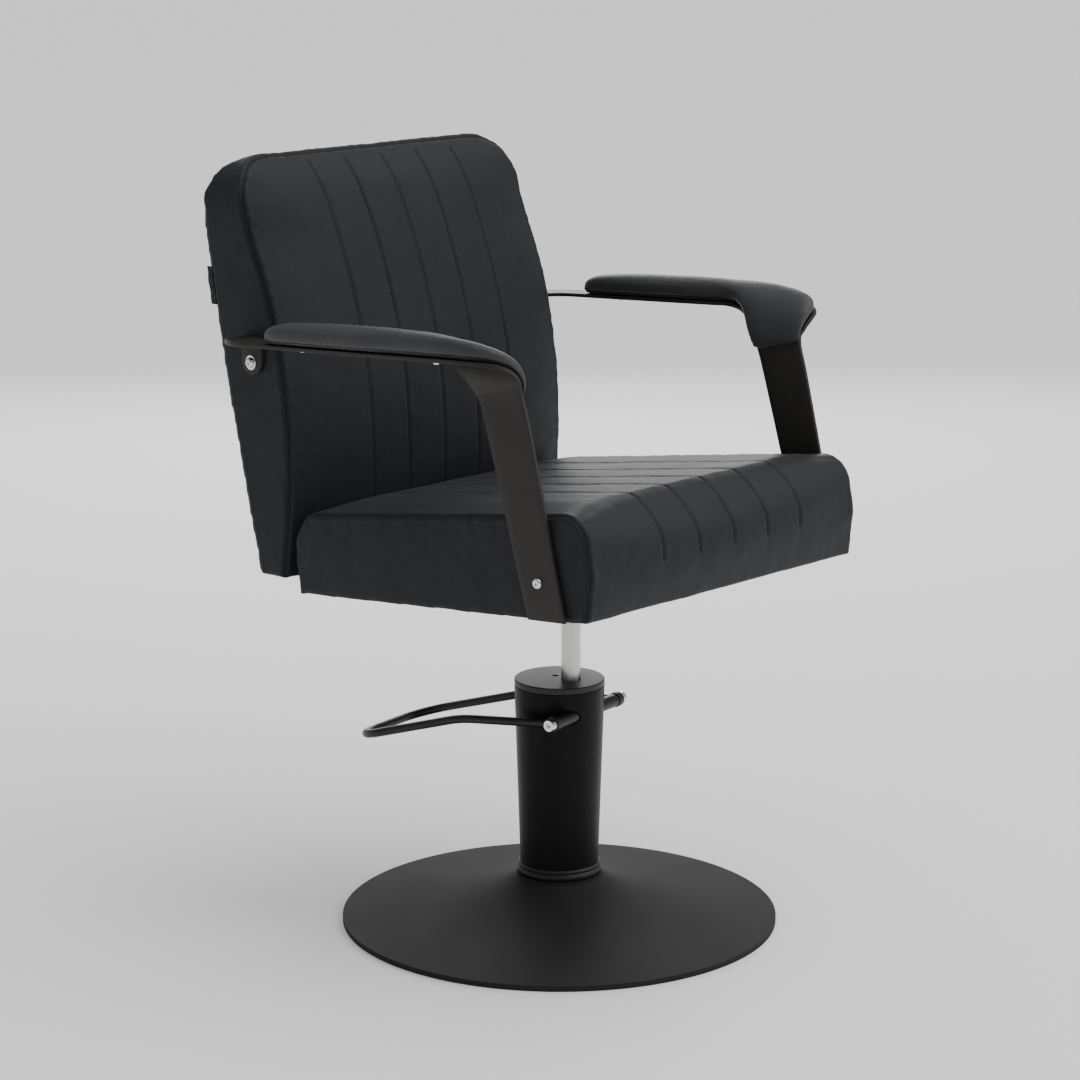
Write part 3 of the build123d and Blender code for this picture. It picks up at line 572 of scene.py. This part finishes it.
def makeSeat():
    # The seat's outline from the side, drawn out between its two flat sides and then filled.
    outline = [Vector(p) for p in roundedOutline(seat["profile"], seat["rounding"])]
    half = seat["half"]
    rings = [[seatPoint(x, y, z) for y, z in outline] for x in (-half, -half * 0.5, 0, half * 0.5, half)]
    cushion = loftRings("seatCushion", rings, hide)
    remesh(cushion, seat["voxel"])
    level = tiltTurn.inverted()
    local = np.array([level @ Vector(p) for p in readPoints(cushion)])
    rim = np.array([(0.0, *p) for p in pathPoints([(p.x, p.y) for p in [*outline, outline[0]]], 0.002)])
    edge, _ = nearest(np.column_stack([np.zeros(len(local)), local[:, 1], local[:, 2]]), rim, 0.02)
    side = np.abs(local[:, 0]) > half - seat["heldSide"]
    held = (local[:, 2] < seat["heldFoot"]) | (side & (edge < seat["heldEdge"]))
    puffUp(cushion, held, seat["cloth"])
    pressSides(cushion, seat["widest"])
    finishWith(cushion, "SUBSURF", levels=1, render_levels=1)
    return cushion


def seatSeams(cushion):
    # The wide middle panel is sewn to a side panel along each edge, from the back round to the front's foot.
    tree = surfaceTree(cushion)
    outline = roundedOutline(seat["profile"], seat["rounding"])
    path = [seat["seamStart"]] + [p for p in outline if p[1] > 0.012] + [seat["seamEnd"]]
    for side in (-1, 1):
        line = pathPoints([seatPoint(side * (seat["half"] - seat["seamInset"]), y, z) for y, z in path])
        yield sewLine(tree, line)


def seatChannels(cushion):
    # Each channel runs forward along the top, over the front edge and down the front.
    tree = surfaceTree(cushion)
    outline = [p for p in roundedOutline(seat["profile"], seat["rounding"]) if p[0] < 0.19 and p[1] > 0.008]
    outline.sort(key=lambda p: (p[0] < -0.2 and p[1] < 0.12, -p[0] if p[1] > 0.1 else 1 - p[1]))
    for x in seat["channels"]:
        path = [seatPoint(x, y, z + 0.004 if z > 0.1 else z) for y, z in [seat["channelEnd"]] + outline]
        yield sewLine(tree, pathPoints(path))


def fullness(piece, inverse, channels, height, mask):
    # Each strip between two channels stands a little proud of them.
    points, normals = readPoints(piece), readNormals(piece)
    local = np.array([inverse @ Vector(p) for p in points])
    pitch = channels[1] - channels[0]
    inside = np.clip((pitch * 2.9 - np.abs(local[:, 0] - channels[2])) / (pitch * 0.8), 0, 1)
    wave = np.abs(np.sin((local[:, 0] - channels[0]) / pitch * math.pi)) ** 0.6
    writePoints(piece, points + normals * (wave * inside * height * mask(local))[:, None])


seatCushion = makeSeat()
seams = list(seatSeams(seatCushion))
fullness(seatCushion, tiltTurn.inverted(), seat["channels"], 0.0008,
         lambda p: np.clip((p[:, 2] - 0.02) / 0.03, 0, 1) * (p[:, 1] < 0.215))
channels = list(seatChannels(seatCushion))
sew(seatCushion, [(line, sewnSeam) for line in seams] + [(line, sewnChannel) for line in channels])
wrinkle(seatCushion, 0.060, 0.0007, 3)
tree = surfaceTree(seatCushion)
seatStitches = stitches("seatStitches", [sewLine(tree, line) for line in seams + channels])
for piece in (seatCushion, seatStitches):
    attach(piece, "seat")
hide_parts("seat_cover", "seat_foam")
print("seat sewn,", len(seatCushion.data.polygons), "faces")

# The back's front and rear edges are (height, depth) pairs from the floor and the ram's axis.
back = {
    "half": 0.2604, "widest": 0.2608, "voxel": 0.0054, "corner": 0.066, "foot": 0.4666, "top": 1.0090,
    "front": [(0.4666, 0.2695), (0.53, 0.2610), (0.62, 0.2560), (0.70, 0.2610), (0.765, 0.2720),
              (0.845, 0.2955), (0.918, 0.3260), (0.962, 0.3395), (0.990, 0.3535), (1.0090, 0.3720)],
    "rear": [(0.4666, 0.3189), (0.851, 0.4010), (0.945, 0.4138),
             (0.975, 0.4108), (0.996, 0.4000), (1.0090, 0.3800)],
    "crown": 0.016, "heldSeam": 0.0048, "heldFoot": 0.004, "heldRear": 0.002,
    "frontSeam": {"inset": 0.001, "top": 1.0050}, "rearSeam": {"inset": -0.003, "top": 0.975},
    "seamCorner": 0.05, "channelRun": (0.50, 1.002),
    "channels": [0.010 + 0.0665 * i for i in (-2, -1, 0, 1, 2)],
    "cloth": {"pressure": 4.0, "stretch": 12.0, "bend": 0.8, "steps": 20, "cap": 0.0045},
}


def smoothAt(pairs, value):
    # A smooth curve through (place, size) pairs.
    xs = [p[0] for p in pairs]
    ys = [p[1] for p in pairs]
    i = max(0, min(len(xs) - 2, int(np.searchsorted(xs, value)) - 1))
    slopes = np.gradient(ys, xs)
    run = xs[i + 1] - xs[i]
    t = (value - xs[i]) / run
    return ((2 * t ** 3 - 3 * t ** 2 + 1) * ys[i] + (t ** 3 - 2 * t ** 2 + t) * run * slopes[i]
            + (3 * t ** 2 - 2 * t ** 3) * ys[i + 1] + (t ** 3 - t ** 2) * run * slopes[i + 1])


def backHalf(z):
    over = max(0.0, z - (back["top"] - back["corner"]))
    return back["half"] - back["corner"] + math.sqrt(max(0.0, back["corner"] ** 2 - over ** 2))


def backFront(z):
    return smoothAt(back["front"], z)


def backRear(z):
    return smoothAt(back["rear"], z)


def backRing(z):
    # One level of the backrest: crowned at the front, flat at the back.
    half, front, rear = backHalf(z), backFront(z), backRear(z)
    rise = min(1.0, (back["top"] - z) / 0.07) * min(1.0, 0.55 + (z - back["foot"]) / 0.12)
    ring = []
    for i in range(33):
        x = -half + 2 * half * i / 32
        bulge = back["crown"] * max(0.0, rise) * (1 - abs(x / half) ** 5)
        ring.append(ramAxis + Vector((x, front - bulge, z)))
    ring.extend(ramAxis + Vector((half, front + (rear - front) * k, z)) for k in (0.33, 0.66))
    ring.extend(ramAxis + Vector((half - 2 * half * i / 8, rear, z)) for i in range(9))
    ring.extend(ramAxis + Vector((-half, front + (rear - front) * k, z)) for k in (0.66, 0.33))
    return ring


def makeBack():
    # Levels stand closer together over the rounded top.
    levels = [*np.linspace(back["foot"], 0.945, 60), *np.linspace(0.950, back["top"] - 0.0002, 22)]
    cushion = loftRings("backCushion", [backRing(z) for z in levels], hide)
    remesh(cushion, back["voxel"])
    points = readPoints(cushion) - np.array(ramAxis)
    held = points[:, 2] < back["foot"] + back["heldFoot"]
    for line in backSeamPaths():
        gap, _ = nearest(points + np.array(ramAxis), pathPoints(line, 0.002), 0.02)
        held |= gap < back["heldSeam"]
    rear = np.array([backRear(z) for z in points[:, 2]])
    held |= points[:, 1] > rear - back["heldRear"]
    puffUp(cushion, held, back["cloth"])
    pressSides(cushion, back["widest"])
    finishWith(cushion, "SUBSURF", levels=1, render_levels=1)
    return cushion


def backSeamPaths():
    # The front panel's edge, then the rear panel's, each up one side, across the top and down the other.
    for edge, seam in ((backFront, back["frontSeam"]), (backRear, back["rearSeam"])):
        top, bend = seam["top"], back["seamCorner"]
        sides = list(np.linspace(back["foot"] + 0.006, top - bend, 26))
        crown = [top - bend + bend * math.sin(a) for a in np.linspace(0.15, math.pi / 2, 8)]
        up = []
        for z in sides + crown:
            lift = min(1.0, max(0.0, (z - (top - 0.08)) / 0.08))
            reach = backHalf(min(z + (back["top"] - top) * lift, back["top"] - 1e-4))
            up.append((-reach + 0.0005, edge(z) + seam["inset"], z))
        path = up + [(-x, y, z) for x, y, z in reversed(up)]
        yield [np.array(ramAxis) + np.array(p) for p in path]


def backChannels(cushion):
    tree = surfaceTree(cushion)
    heights = np.linspace(*back["channelRun"], 60)
    for x in back["channels"]:
        line = [ramAxis + Vector((x, backFront(z) - back["crown"], z)) for z in heights]
        yield sewLine(tree, pathPoints(line))


backCushion = makeBack()
fullness(backCushion, Matrix.Translation(-ramAxis), back["channels"], 0.0008,
         lambda p: (p[:, 1] < 0.34) * np.clip((0.98 - p[:, 2]) / 0.03, 0, 1))
tree = surfaceTree(backCushion)
backSeams = [sewLine(tree, pathPoints(path)) for path in backSeamPaths()]
backRows = list(backChannels(backCushion))
sew(backCushion, [(line, sewnSeam) for line in backSeams] + [(line, sewnChannel) for line in backRows])
wrinkle(backCushion, 0.070, 0.0007, 5)
tree = surfaceTree(backCushion)
backStitches = stitches("backStitches", [sewLine(tree, line) for line in backSeams + backRows])
for piece in (backCushion, backStitches):
    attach(piece, "seat")
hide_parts("back_cover", "back_foam", "back_panel")
print("backrest sewn,", len(backCushion.data.polygons), "faces")

arm = {
    "thickness": 0.005, "inner": 0.284, "outer": 0.322, "slope": 0.055, "rail": 0.7980, "tabX": 0.2636,
    "tab": {"low": 0.733, "rear": 0.337, "fore": 0.299, "round": 0.019, "middle": 0.318},
    "padCrown": [0.010, 0.019, 0.0245, 0.027, 0.028, 0.028, 0.028,
                 0.027, 0.0255, 0.0235, 0.021, 0.018, 0.013, 0.006],
    # Points round a pad's section, and the two of them at the hem on its inner and outer side.
    "padPoints": 40, "hem": (36, 24),
    "cloth": {"pressure": 3.0, "stretch": 14.0, "bend": 1.0, "steps": 14, "cap": 0.0025},
}


def railHeight(y):
    return arm["rail"] - arm["slope"] * y


def railRung(inner, outer):
    return (*inner, railHeight(inner[1])), (*outer, railHeight(outer[1]))


# Inner and outer edge of the strap's middle surface, round the corner and down the leg.
cornerRungs = [
    railRung((0.284, 0.002), (0.322, 0.002)), railRung((0.284, -0.022), (0.322, -0.076)),
    ((0.2828, -0.042, 0.7966), (0.3204, -0.122, 0.8041)), ((0.2798, -0.057, 0.7902), (0.3135, -0.149, 0.8042)),
    ((0.2758, -0.068, 0.7815), (0.3020, -0.162, 0.8009)), ((0.2716, -0.077, 0.7713), (0.2870, -0.166, 0.7932)),
    ((0.2684, -0.085, 0.7602), (0.2745, -0.165, 0.7818)), ((0.2670, -0.0935, 0.7476), (0.268, -0.163, 0.7646)),
    ((0.2670, -0.110, 0.698), (0.2670, -0.1785, 0.710)), ((0.2670, -0.173, 0.490), (0.2670, -0.233, 0.4945)),
]
rearRungs = [
    railRung((0.2612, 0.337), (0.290, 0.337)), railRung((0.2612, 0.322), (0.2985, 0.332)),
    railRung((0.2615, 0.306), (0.3075, 0.322)), railRung((0.2680, 0.294), (0.3150, 0.310)),
    railRung((0.2765, 0.283), (0.3200, 0.296)), railRung((0.2820, 0.271), (0.3220, 0.280)),
    railRung((0.284, 0.255), (0.322, 0.262)), railRung((0.284, 0.190), (0.322, 0.190)),
    railRung((0.284, 0.120), (0.322, 0.120)), railRung((0.284, 0.060), (0.322, 0.060)),
]


def smoothRungs(rungs, steps):
    # Fills in rungs along a smooth curve through the given ones.
    ends = np.array([[*a, *b] for a, b in rungs], float)
    padded = np.vstack([2 * ends[0] - ends[1], ends, 2 * ends[-1] - ends[-2]])
    for i in range(1, len(padded) - 2):
        for k in range(steps):
            t = k / steps
            p0, p1, p2, p3 = padded[i - 1:i + 3]
            yield 0.5 * (2 * p1 + (p2 - p0) * t + (2 * p0 - 5 * p1 + 4 * p2 - p3) * t ** 2
                         + (3 * p1 - p0 - 3 * p2 + p3) * t ** 3)
    yield ends[-1]


def strapGrid(side, rungs, name):
    # The strap's middle surface, in a few cells across.
    cells = 6
    verts, faces = [], []
    rows = [(r[:3], r[3:]) for r in smoothRungs(rungs, 6)]
    for inner, outer in rows:
        for k in range(cells + 1):
            x, y, z = inner + (outer - inner) * k / cells
            verts.append(ramAxis + Vector((side * x, y, z)))
    for i in range(len(rows) - 1):
        for k in range(cells):
            a = i * (cells + 1) + k
            faces.append((a, a + 1, a + cells + 2, a + cells + 1))
    return makePiece(name, verts, faces, finishes["arm_paint"])


def makeStrap(side, word):
    # A flat bar bent on edge: rail, twisted corner and leg, then a tab turned down at the rear.
    strap = strapGrid(side, rearRungs + cornerRungs, "armStrap" + word)
    finishWith(strap, "SOLIDIFY", thickness=arm["thickness"], offset=0, use_even_offset=True)
    tab, half = arm["tab"], arm["thickness"] / 2
    high = railHeight(tab["middle"])
    outline = [(tab["rear"], high), (tab["fore"], high)]
    for k in range(17):
        angle = math.pi + math.pi * k / 16
        drop = tab["round"] * (1 + math.sin(angle))
        outline.append((tab["middle"] + tab["round"] * math.cos(angle), tab["low"] + drop))
    rings = [[ramAxis + Vector((side * x, y, z)) for y, z in outline]
             for x in (arm["tabX"] - half, arm["tabX"] + half)]
    flap = loftRings("tab", rings, finishes["arm_paint"])
    with bpy.context.temp_override(active_object=strap, object=strap, selected_editable_objects=[strap, flap]):
        bpy.ops.object.join()
    finishWith(strap, "BEVEL", width=0.0009, segments=3, limit_method="ANGLE", angle_limit=math.radians(40))
    return strap


def padRungs():
    # The pad narrows to a rounded rear tip: each pair is a depth and how far the edges draw in there.
    tip = [(0.241, 0.013), (0.236, 0.0055), (0.222, 0.0005),
           (0.195, -0.0015), (0.120, -0.0025), (0.060, -0.0025)]
    straight = [railRung((arm["inner"] + cut, y), (arm["outer"] - cut, y)) for y, cut in tip]
    return straight + cornerRungs[:8]


def padRing(inner, outer, along, crown, side):
    # A pad section: flat against the strap, bulging over its edges, domed on top.
    width = outer - inner
    span = np.linalg.norm(width)
    across = width / span
    normal = np.cross(across, along)
    normal = -normal / np.linalg.norm(normal)
    middle = (inner + outer) / 2
    base = arm["thickness"] / 2 + 0.0002
    ring = []
    for k in range(arm["padPoints"]):
        angle = 2 * math.pi * k / arm["padPoints"]
        c, s = math.cos(angle), math.sin(angle)
        reach = math.copysign(abs(c) ** 0.62, c) * (span / 2 + 0.0012)
        rise = (math.copysign(abs(s) ** 0.72, s) * 0.5 + 0.5) * crown
        point = middle + across * reach + normal * (base + rise)
        ring.append(ramAxis + Vector((side * point[0], point[1], point[2])))
    return ring


def makePad(side, word, strapTree):
    rungs = list(smoothRungs(padRungs(), 7))
    given = len(arm["padCrown"])
    crowns = np.interp(np.linspace(0, given - 1, len(rungs)), range(given), arm["padCrown"])
    middles = [(r[:3] + r[3:]) / 2 for r in rungs]
    rings = []
    for i, rung in enumerate(rungs):
        along = middles[min(i + 1, len(rungs) - 1)] - middles[max(i - 1, 0)]
        rings.append(padRing(rung[:3], rung[3:], along, crowns[i], side))
    pad = loftRings("armPad" + word, rings, armHide)
    remesh(pad, 0.0035)
    gap = np.array([strapTree.find_nearest(Vector(p))[3] for p in readPoints(pad)])
    puffUp(pad, gap < 0.0045, arm["cloth"])
    finishWith(pad, "SUBSURF", levels=1, render_levels=1)
    hem = []
    for i, rung in enumerate(rungs[2:-1]):
        along = middles[i + 3] - middles[i + 1]
        ring = padRing(rung[:3], rung[3:], along, crowns[i + 2], side)
        hem.append([ring[place] for place in arm["hem"]])
    path = [p for p, _ in reversed(hem)] + [p for _, p in hem]
    seam = sewLine(surfaceTree(pad), pathPoints(path))
    sew(pad, [(seam, padSeam)])
    wrinkle(pad, 0.030, 0.0003, 11 + side)
    rows = stitches("armStitches" + word, [sewLine(surfaceTree(pad), seam)], 0.0036, 0.0026)
    return pad, rows


for side, word, name in ((1, "Left", "left"), (-1, "Right", "right")):
    strap = makeStrap(side, word)
    pad, rows = makePad(side, word, surfaceTree(strap))
    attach(strap, "seat")
    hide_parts("arm_strap_" + name)
    for piece in (pad, rows):
        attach(piece, "seat")
    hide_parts("arm_pad_" + name)
print("arms padded")


def makeDustCover():
    # Thin cloth stapled under the frame, sagging a little between its edges, open round the lift plate.
    cloth = {"half": 0.240, "front": -0.235, "rear": 0.222, "openX": 0.104, "openY": 0.119,
             "cell": 0.006, "sag": 0.003, "rise": 0.05}
    across = int(2 * cloth["half"] / cloth["cell"])
    along = int((cloth["rear"] - cloth["front"]) / cloth["cell"])
    xs = np.linspace(-cloth["half"], cloth["half"], across + 1)
    ys = np.linspace(cloth["front"], cloth["rear"], along + 1)
    verts, faces = [], []
    for y in ys:
        for x in xs:
            rim = min(cloth["half"] - abs(x), y - cloth["front"], cloth["rear"] - y) / cloth["rise"]
            hole = max(abs(x) - cloth["openX"], abs(y) - cloth["openY"]) / cloth["rise"]
            slack = max(0.0, min(1.0, rim, hole))
            ripple = noise.noise(Vector((x * 14, y * 14, 2.0)))
            verts.append(seatPoint(x, y, -0.0004 - slack * cloth["sag"] * (0.6 + 0.5 * ripple)))
    for j in range(along):
        for i in range(across):
            x, y = (xs[i] + xs[i + 1]) / 2, (ys[j] + ys[j + 1]) / 2
            if abs(x) < cloth["openX"] and abs(y) < cloth["openY"]:
                continue
            a = j * (across + 1) + i
            faces.append((a, a + 1, a + across + 2, a + across + 1))
    sheet = makePiece("dustCloth", verts, faces, finishes["dust_cloth"])
    return finishWith(sheet, "SOLIDIFY", thickness=0.0006, offset=0)


dustCloth = makeDustCover()
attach(dustCloth, "seat")
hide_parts("dust_cover")


def makeTag():
    # A strip of woven tape folded double and caught in the rear seam.
    low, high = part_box("back_label")
    tape = {"folds": 12, "rows": 16, "gap": 0.0007, "caught": 0.004, "length": 0.0105, "wave": 0.0006}
    middleX = (low.x + high.x) / 2
    verts, faces = [], []
    for j in range(tape["rows"] + 1):
        z = low.z + 0.0005 + (high.z - low.z - 0.001) * j / tape["rows"]
        root = ramY + backRear(z) - tape["caught"]
        out = root + tape["length"] + tape["wave"] * math.sin(j * 0.8)
        for k in range(tape["folds"] + 1):
            t = k / tape["folds"] * 2 - 1
            y = out - (out - root) * abs(t) ** 1.5
            spread = tape["gap"] * math.copysign(min(1.0, abs(t) * 4) ** 0.5, t)
            verts.append((middleX + spread + 0.0004 * math.sin(j * 0.5), y, z))
    for j in range(tape["rows"]):
        for k in range(tape["folds"]):
            a = j * (tape["folds"] + 1) + k
            faces.append((a, a + 1, a + tape["folds"] + 2, a + tape["folds"] + 1))
    tag = makePiece("sewnTag", verts, faces, finishes["tag_cloth"])
    return finishWith(tag, "SOLIDIFY", thickness=0.0004, offset=0)


sewnTag = makeTag()
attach(sewnTag, "seat")
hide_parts("back_label")
print("trim done")


def plainMaterial(name, tone):
    paint = Finish(name)
    speck = paint.noise(3.0, 2.0)
    paint.colour(paint.mixed(speck, (tone,) * 3, (tone * 1.01,) * 3))
    paint.rough(0.9)
    return paint.material


def makeFloor():
    # A wide sheet just under the base.
    half, height = 90.0, -0.0006
    corners = [(x * half, y * half, height) for x, y in ((-1, -1), (1, -1), (1, 1), (-1, 1))]
    floor = makePiece("studioFloor", corners, [(0, 1, 2, 3)], plainMaterial("paleFloor", 0.86))


def softbox(name, place, aim, width, height, watts):
    lamp = bpy.data.lights.new(name, "AREA")
    lamp.shape = "RECTANGLE"
    lamp.size = width
    lamp.size_y = height
    lamp.energy = watts
    light = bpy.data.objects.new(name, lamp)
    light.location = place
    light.rotation_euler = (Vector(aim) - Vector(place)).to_track_quat("-Z", "Y").to_euler()
    light.visible_camera = False
    scene.collection.objects.link(light)


def makeWorld(strength):
    world = bpy.data.worlds.new("studio")
    scene.world = world
    world.use_nodes = True
    sky = world.node_tree.nodes["Background"]
    sky.inputs["Color"].default_value = (1, 1, 1, 1)
    sky.inputs["Strength"].default_value = strength


def makeSun(strength, spread, aim):
    # A very wide, soft light from above that keeps the floor even to its far edge.
    lamp = bpy.data.lights.new("ceiling", "SUN")
    lamp.energy = strength
    lamp.angle = math.radians(spread)
    light = bpy.data.objects.new("ceiling", lamp)
    light.rotation_euler = Vector(aim).to_track_quat("-Z", "Y").to_euler()
    scene.collection.objects.link(light)


makeFloor()
makeWorld(0.42)
makeSun(2.6, 70, (-0.25, 0.30, -1.0))
chairMiddle = (0, 0.05, 0.60)
softbox("farBank", (2.7, 2.8, 1.75), chairMiddle, 3.0, 1.8, 60)
softbox("frontRight", (1.8, -2.6, 1.9), chairMiddle, 1.4, 1.6, 26)

eye = {"place": (-3.0324, -2.7610, 1.4393), "look": (0.7172, 0.6613, -0.2197), "lens": 107.16}
camera = bpy.data.objects.new("camera", bpy.data.cameras.new("camera"))
camera.location = eye["place"]
camera.rotation_euler = Vector(eye["look"]).to_track_quat("-Z", "Y").to_euler()
camera.data.lens = eye["lens"]
camera.data.sensor_width = 36.0
camera.data.clip_end = 100.0
scene.collection.objects.link(camera)
scene.camera = camera
